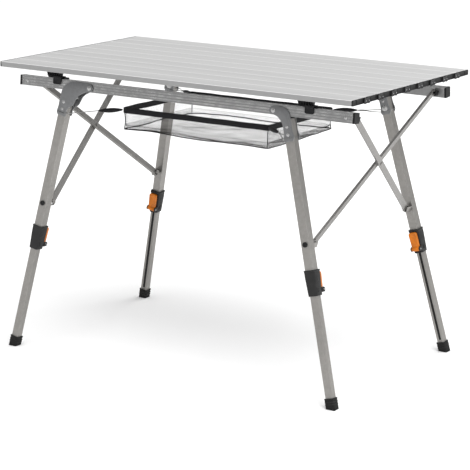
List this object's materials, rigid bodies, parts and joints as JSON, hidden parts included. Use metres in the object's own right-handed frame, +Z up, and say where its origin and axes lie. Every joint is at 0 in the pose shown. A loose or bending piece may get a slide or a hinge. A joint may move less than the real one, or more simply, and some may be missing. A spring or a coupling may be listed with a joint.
{
  "type": "folding camp table",
  "caption": "Roll-top aluminium camp kitchen table with folding splayed legs, telescopic clamped extensions, scissor end braces and a mesh basket under the top.",
  "frame": {"origin": "on the ground, under the middle of the tabletop", "axes": "+X along the tabletop to the right, +Y to the rear, +Z up; the front faces -Y"},
  "size_m": [0.906, 0.5444, 0.655],
  "materials": {
    "slat": "satin",
    "tube": "satin",
    "rail": "satin",
    "bracket": "satin",
    "cap": "matte",
    "clip": "matte",
    "clamp": "satin",
    "lever": "gloss",
    "strip": "matte",
    "foot": "matte",
    "bar": "satin",
    "net": "matte",
    "binding": "matte",
    "strap": "matte",
    "hook": "satin"
  },
  "bodies": {
    "front_frame": {"rail_front": "rail", "rail_caps_front": "cap", "clips_front": "clip", "basket_net": "net", "basket_binding": "binding", "basket_straps": "strap", "basket_hooks": "hook"},
    "rear_frame": {"rail_rear": "rail", "rail_caps_rear": "cap", "clips_rear": "clip"},
    "leg_front_left": {"bracket_front_left": "bracket", "upper_tube_front_left": "tube", "clamp_front_left": "clamp"},
    "extension_front_left": {"lower_tube_front_left": "tube", "strip_front_left": "strip", "foot_front_left": "foot"},
    "lever_front_left": {"lever_front_left": "lever"},
    "bar_front_left": {"bar_front_left": "bar"},
    "leg_front_right": {"bracket_front_right": "bracket", "upper_tube_front_right": "tube", "clamp_front_right": "clamp"},
    "extension_front_right": {"lower_tube_front_right": "tube", "strip_front_right": "strip", "foot_front_right": "foot"},
    "lever_front_right": {"lever_front_right": "lever"},
    "bar_front_right": {"bar_front_right": "bar"},
    "leg_rear_left": {"bracket_rear_left": "bracket", "upper_tube_rear_left": "tube", "clamp_rear_left": "clamp"},
    "extension_rear_left": {"lower_tube_rear_left": "tube", "strip_rear_left": "strip", "foot_rear_left": "foot"},
    "lever_rear_left": {"lever_rear_left": "lever"},
    "bar_rear_left": {"bar_rear_left": "bar"},
    "leg_rear_right": {"bracket_rear_right": "bracket", "upper_tube_rear_right": "tube", "clamp_rear_right": "clamp"},
    "extension_rear_right": {"lower_tube_rear_right": "tube", "strip_rear_right": "strip", "foot_rear_right": "foot"},
    "lever_rear_right": {"lever_rear_right": "lever"},
    "bar_rear_right": {"bar_rear_right": "bar"},
    "slat_1": {"slat_1": "slat", "slat_caps_1": "cap"},
    "slat_2": {"slat_2": "slat", "slat_caps_2": "cap"},
    "slat_3": {"slat_3": "slat", "slat_caps_3": "cap"},
    "slat_4": {"slat_4": "slat", "slat_caps_4": "cap"},
    "slat_5": {"slat_5": "slat", "slat_caps_5": "cap"},
    "slat_6": {"slat_6": "slat", "slat_caps_6": "cap"},
    "slat_7": {"slat_7": "slat", "slat_caps_7": "cap"},
    "slat_8": {"slat_8": "slat", "slat_caps_8": "cap"},
    "slat_9": {"slat_9": "slat", "slat_caps_9": "cap"}
  },
  "joints": [
    {"name": "fold", "type": "slide", "parent": "front_frame", "child": "rear_frame", "axis": [0, -1, 0], "range_m": [0, 0.085], "deforming": ["basket_straps", "basket_hooks"]},
    {"name": "leg_front_left", "type": "hinge", "parent": "front_frame", "child": "leg_front_left", "pos_m": [-0.23706, -0.2085, 0.607], "axis": [0, -0.9962, 0.0872], "range_deg": [0, 34.45]},
    {"name": "leg_front_right", "type": "hinge", "parent": "front_frame", "child": "leg_front_right", "pos_m": [0.23706, -0.2085, 0.607], "axis": [0, 0.9962, -0.0872], "range_deg": [0, 35.26]},
    {"name": "leg_rear_left", "type": "hinge", "parent": "rear_frame", "child": "leg_rear_left", "pos_m": [-0.23706, 0.2085, 0.607], "axis": [0, -0.9962, -0.0872], "range_deg": [0, 34.45]},
    {"name": "leg_rear_right", "type": "hinge", "parent": "rear_frame", "child": "leg_rear_right", "pos_m": [0.23706, 0.2085, 0.607], "axis": [0, 0.9962, 0.0872], "range_deg": [0, 35.26]},
    {"name": "bar_front_left", "type": "hinge", "parent": "front_frame", "child": "bar_front_left", "pos_m": [-0.40208, -0.1885, 0.60847], "axis": [-0.4356, -0.8718, -0.2241], "range_deg": [0, 29.91]},
    {"name": "bar_front_right", "type": "hinge", "parent": "front_frame", "child": "bar_front_right", "pos_m": [0.41587, -0.1885, 0.60511], "axis": [-0.4386, 0.871, 0.2213], "range_deg": [0, 30.66]},
    {"name": "bar_rear_left", "type": "hinge", "parent": "rear_frame", "child": "bar_rear_left", "pos_m": [-0.41597, 0.1885, 0.60553], "axis": [0.4506, -0.8712, 0.1947], "range_deg": [0, 30.87]},
    {"name": "bar_rear_right", "type": "hinge", "parent": "rear_frame", "child": "bar_rear_right", "pos_m": [0.40218, 0.1885, 0.60889], "axis": [0.4219, 0.8716, -0.2495], "range_deg": [0, 29.73]},
    {"name": "extension_front_left", "type": "slide", "parent": "leg_front_left", "child": "extension_front_left", "axis": [0.1977, 0.0854, 0.9765], "range_m": [-0.03, 0.19]},
    {"name": "extension_front_right", "type": "slide", "parent": "leg_front_right", "child": "extension_front_right", "axis": [-0.2453, 0.0845, 0.9658], "range_m": [-0.03, 0.19]},
    {"name": "extension_rear_left", "type": "slide", "parent": "leg_rear_left", "child": "extension_rear_left", "axis": [0.1977, -0.0854, 0.9765], "range_m": [-0.03, 0.19]},
    {"name": "extension_rear_right", "type": "slide", "parent": "leg_rear_right", "child": "extension_rear_right", "axis": [-0.2453, -0.0845, 0.9658], "range_m": [-0.03, 0.19]},
    {"name": "lever_front_left", "type": "hinge", "parent": "leg_front_left", "child": "lever_front_left", "pos_m": [-0.37104, -0.22087, 0.24073], "axis": [-0.9803, 0.0172, 0.1969], "range_deg": [0, 110]},
    {"name": "lever_front_right", "type": "hinge", "parent": "leg_front_right", "child": "lever_front_right", "pos_m": [0.35774, -0.22095, 0.23986], "axis": [-0.9694, -0.0214, -0.2444], "range_deg": [0, 110]},
    {"name": "lever_rear_left", "type": "hinge", "parent": "leg_rear_left", "child": "lever_rear_left", "pos_m": [-0.37104, 0.22087, 0.24073], "axis": [0.9803, 0.0172, -0.1969], "range_deg": [0, 110]},
    {"name": "lever_rear_right", "type": "hinge", "parent": "leg_rear_right", "child": "lever_rear_right", "pos_m": [0.35774, 0.22095, 0.23986], "axis": [0.9694, -0.0214, 0.2444], "range_deg": [0, 110]},
    {"name": "tabletop_lift", "type": "slide", "parent": "front_frame", "child": "slat_5", "axis": [0, 0, 1], "range_m": [0, 0.25]},
    {"name": "roll_5_6", "type": "hinge", "parent": "slat_5", "child": "slat_6", "pos_m": [0, 0.02951, 0.655], "axis": [1, 0, 0], "range_deg": [0, 38]},
    {"name": "roll_6_7", "type": "hinge", "parent": "slat_6", "child": "slat_7", "pos_m": [0, 0.08853, 0.655], "axis": [1, 0, 0], "range_deg": [0, 38]},
    {"name": "roll_7_8", "type": "hinge", "parent": "slat_7", "child": "slat_8", "pos_m": [0, 0.14756, 0.655], "axis": [1, 0, 0], "range_deg": [0, 38]},
    {"name": "roll_8_9", "type": "hinge", "parent": "slat_8", "child": "slat_9", "pos_m": [0, 0.20658, 0.655], "axis": [1, 0, 0], "range_deg": [0, 38]},
    {"name": "roll_4_5", "type": "hinge", "parent": "slat_5", "child": "slat_4", "pos_m": [0, -0.02951, 0.655], "axis": [-1, 0, 0], "range_deg": [0, 38]},
    {"name": "roll_3_4", "type": "hinge", "parent": "slat_4", "child": "slat_3", "pos_m": [0, -0.08853, 0.655], "axis": [-1, 0, 0], "range_deg": [0, 38]},
    {"name": "roll_2_3", "type": "hinge", "parent": "slat_3", "child": "slat_2", "pos_m": [0, -0.14756, 0.655], "axis": [-1, 0, 0], "range_deg": [0, 38]},
    {"name": "roll_1_2", "type": "hinge", "parent": "slat_2", "child": "slat_1", "pos_m": [0, -0.20658, 0.655], "axis": [-1, 0, 0], "range_deg": [0, 38]}
  ],
  "couplings": [
    {"joint": "leg_front_left", "follows": "fold", "rad_per_m": 7.0629},
    {"joint": "leg_front_right", "follows": "fold", "rad_per_m": 7.2305},
    {"joint": "leg_rear_left", "follows": "fold", "rad_per_m": 7.0629},
    {"joint": "leg_rear_right", "follows": "fold", "rad_per_m": 7.2305},
    {"joint": "bar_front_left", "follows": "fold", "rad_per_m": 6.1321},
    {"joint": "bar_front_right", "follows": "fold", "rad_per_m": 6.2848},
    {"joint": "bar_rear_left", "follows": "fold", "rad_per_m": 6.3289},
    {"joint": "bar_rear_right", "follows": "fold", "rad_per_m": 6.0943},
    {"joint": "roll_6_7", "follows": "roll_5_6", "ratio": 1},
    {"joint": "roll_7_8", "follows": "roll_5_6", "ratio": 1},
    {"joint": "roll_8_9", "follows": "roll_5_6", "ratio": 1},
    {"joint": "roll_4_5", "follows": "roll_5_6", "ratio": 1},
    {"joint": "roll_3_4", "follows": "roll_5_6", "ratio": 1},
    {"joint": "roll_2_3", "follows": "roll_5_6", "ratio": 1},
    {"joint": "roll_1_2", "follows": "roll_5_6", "ratio": 1}
  ]
}
